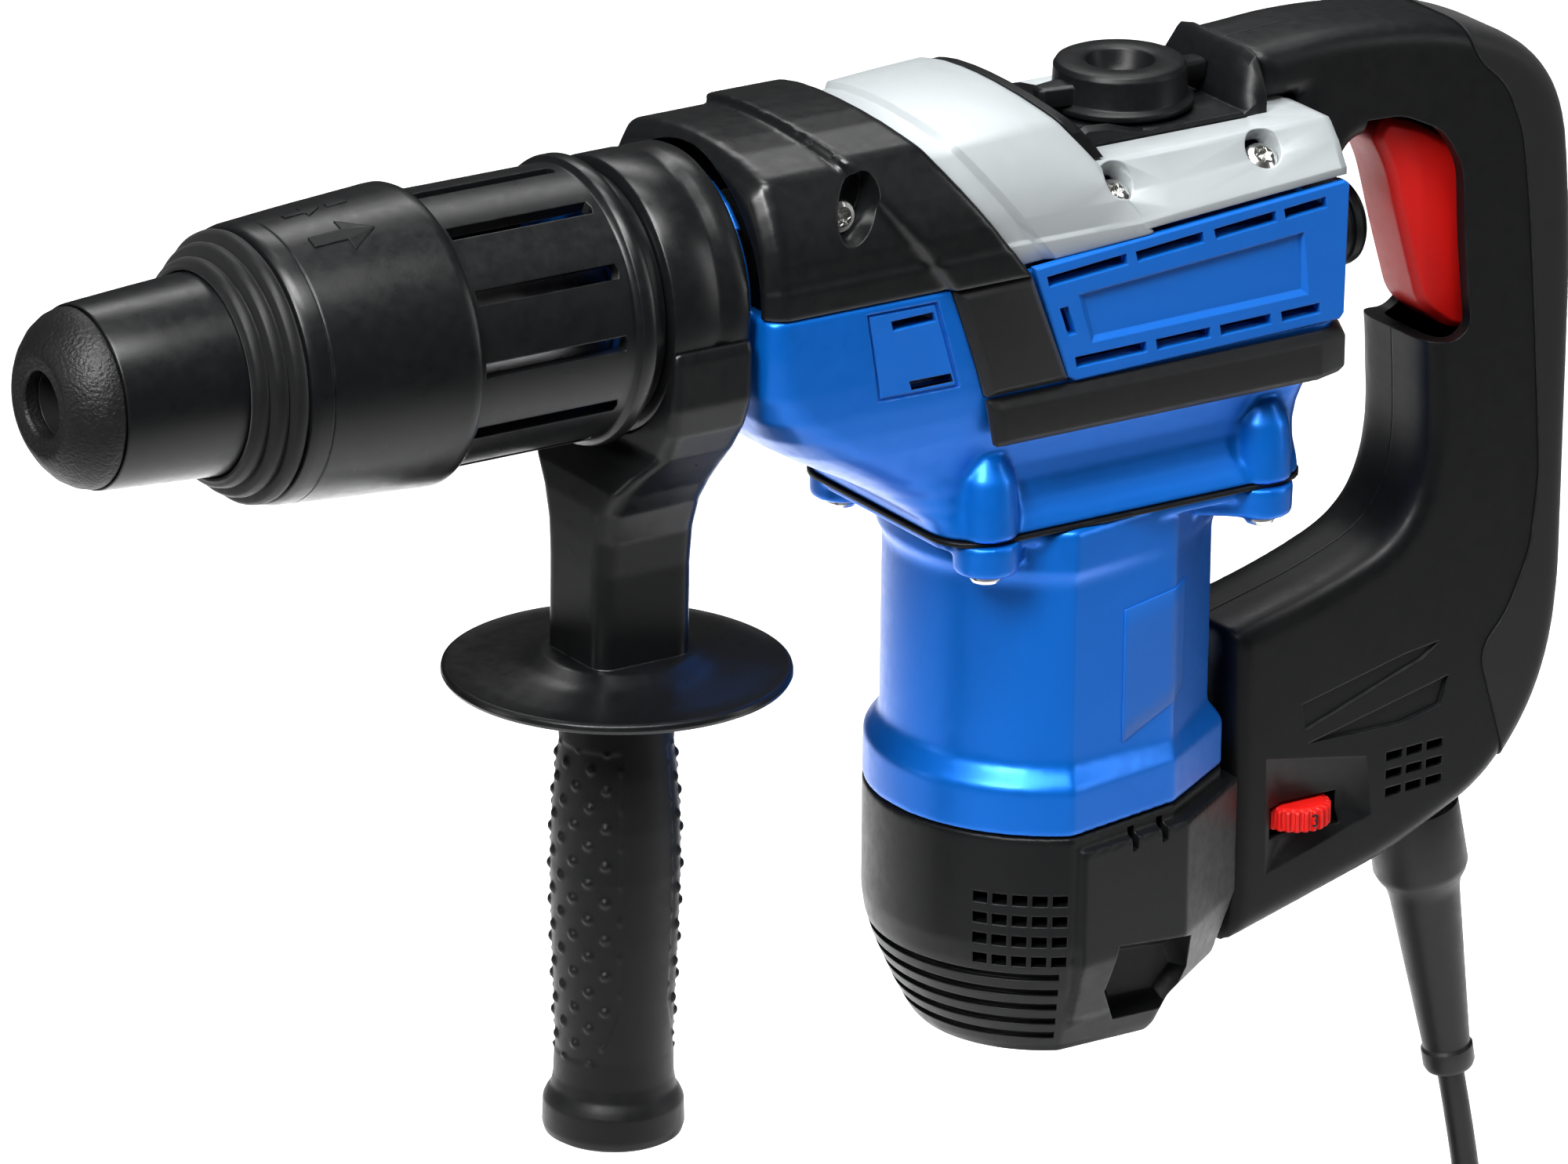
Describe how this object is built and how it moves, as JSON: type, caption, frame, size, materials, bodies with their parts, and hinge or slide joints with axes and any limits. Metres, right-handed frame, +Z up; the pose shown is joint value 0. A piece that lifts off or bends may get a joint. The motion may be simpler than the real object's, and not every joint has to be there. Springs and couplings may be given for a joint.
{
  "type": "rotary hammer",
  "caption": "Corded rotary hammer with a rear D handle, a swivelling side handle, a slide-back tool lock and a vertical motor.",
  "frame": {"origin": "centre of the mouth of the tool bore", "axes": "+X along the tool axis towards the nose, +Z up, +Y to the left of the tool"},
  "size_m": [0.4892, 0.1365, 0.435],
  "materials": {
    "black_plastic": "fine moulded texture",
    "soft_rubber": "soft matt",
    "blue_paint": "satin metallic",
    "grey_paint": "satin",
    "red_plastic": "satin",
    "cord_rubber": "matt",
    "screw_steel": "bright",
    "hard_steel": "ground",
    "light_alloy": "machined",
    "lamination_steel": "stacked sheet",
    "copper": "bare",
    "carbon": "dull"
  },
  "bodies": {
    "housing": {"armature_bearings": "hard_steel", "brush_holders": "black_plastic", "carbon_brushes": "carbon", "case_gasket": "soft_rubber", "cord_coil": "cord_rubber", "crank_bearing": "hard_steel", "end_cap": "black_plastic", "field_coils": "copper", "front_bumpers": "soft_rubber", "front_cover": "black_plastic", "gear_housing": "blue_paint", "gearbox_plate": "light_alloy", "handle_grip_pad": "soft_rubber", "housing_screws": "screw_steel", "mains_cord": "cord_rubber", "mains_plug": "cord_rubber", "motor_housing": "blue_paint", "rear_bumper": "soft_rubber", "rear_cap": "black_plastic", "rear_handle_left": "black_plastic", "rear_handle_right": "black_plastic", "selector_plate": "black_plastic", "side_panel_left": "blue_paint", "side_panel_right": "blue_paint", "slotted_barrel": "black_plastic", "stator_core": "lamination_steel", "strain_relief": "soft_rubber", "switch_module": "black_plastic", "top_cover": "grey_paint", "trigger_pin": "hard_steel"},
    "spindle": {"dust_cap": "soft_rubber", "front_tube": "black_plastic", "tool_holder": "hard_steel", "locking_rollers": "hard_steel", "sleeve_spring": "hard_steel", "spindle_tube": "hard_steel", "bevel_ring_gear": "hard_steel"},
    "locking_sleeve": {"locking_sleeve": "black_plastic", "sleeve_ribs": "soft_rubber"},
    "impact_bolt": {"impact_bolt": "hard_steel"},
    "striker": {"striker": "hard_steel"},
    "piston": {"piston": "light_alloy", "wrist_pin": "hard_steel", "connecting_rod": "light_alloy"},
    "crank": {"crank_gear": "hard_steel", "crank_shaft": "hard_steel"},
    "bevel_drive": {"bevel_shaft": "hard_steel", "intermediate_gear": "hard_steel"},
    "armature": {"armature_shaft": "hard_steel", "rotor_core": "lamination_steel", "commutator": "copper", "cooling_fan": "black_plastic"},
    "selector": {"selector_knob": "black_plastic"},
    "trigger": {"trigger": "red_plastic"},
    "speed_wheel": {"speed_wheel": "red_plastic"},
    "side_handle": {"clamp_band": "black_plastic", "handle_post": "black_plastic", "clamp_bolt": "screw_steel"},
    "side_grip": {"side_grip": "soft_rubber"}
  },
  "joints": [
    {"name": "armature_spin", "type": "hinge", "parent": "housing", "child": "armature", "pos_m": [-0.32, 0, -0.13], "axis": [0, 0, 1], "continuous": true},
    {"name": "crank_spin", "type": "hinge", "parent": "housing", "child": "crank", "pos_m": [-0.29, 0, -0.03], "axis": [0, 0, 1], "continuous": true},
    {"name": "bevel_spin", "type": "hinge", "parent": "housing", "child": "bevel_drive", "pos_m": [-0.25122, 0, -0.04], "axis": [0, 0, 1], "continuous": true},
    {"name": "spindle_spin", "type": "hinge", "parent": "housing", "child": "spindle", "pos_m": [-0.1, 0, 0], "axis": [1, 0, 0], "continuous": true},
    {"name": "sleeve_slide", "type": "slide", "parent": "spindle", "child": "locking_sleeve", "axis": [-1, 0, 0], "range_m": [0, 0.01], "stiffness_N_per_m": 600, "springref_m": -0.008},
    {"name": "impact_bolt_slide", "type": "slide", "parent": "spindle", "child": "impact_bolt", "axis": [1, 0, 0], "range_m": [0, 0.006]},
    {"name": "striker_slide", "type": "slide", "parent": "spindle", "child": "striker", "axis": [1, 0, 0], "range_m": [-0.01, 0.009]},
    {"name": "piston_slide", "type": "slide", "parent": "housing", "child": "piston", "axis": [1, 0, 0], "range_m": [-0.014, 0.014]},
    {"name": "selector_turn", "type": "hinge", "parent": "housing", "child": "selector", "pos_m": [-0.3405, 0, 0.025], "axis": [0, 0, 1], "range_deg": [-90, 90]},
    {"name": "trigger_pull", "type": "hinge", "parent": "housing", "child": "trigger", "pos_m": [-0.455, 0, -0.014], "axis": [0, 1, 0], "range_deg": [0, 7], "stiffness_Nm_per_rad": 1.2, "springref_deg": -8.59},
    {"name": "speed_wheel_turn", "type": "hinge", "parent": "housing", "child": "speed_wheel", "pos_m": [-0.398, 0.012, -0.19], "axis": [0, 0, 1], "range_deg": [-135, 135]},
    {"name": "side_handle_swivel", "type": "hinge", "parent": "housing", "child": "side_handle", "pos_m": [-0.183, 0, 0], "axis": [1, 0, 0], "continuous": true},
    {"name": "side_grip_twist", "type": "hinge", "parent": "side_handle", "child": "side_grip", "pos_m": [-0.179, 0, -0.18], "axis": [0, 0, 1], "continuous": true}
  ],
  "couplings": [
    {"joint": "crank_spin", "follows": "armature_spin", "ratio": -0.15556},
    {"joint": "bevel_spin", "follows": "armature_spin", "ratio": 0.31818},
    {"joint": "spindle_spin", "follows": "armature_spin", "ratio": 0.075359}
  ]
}
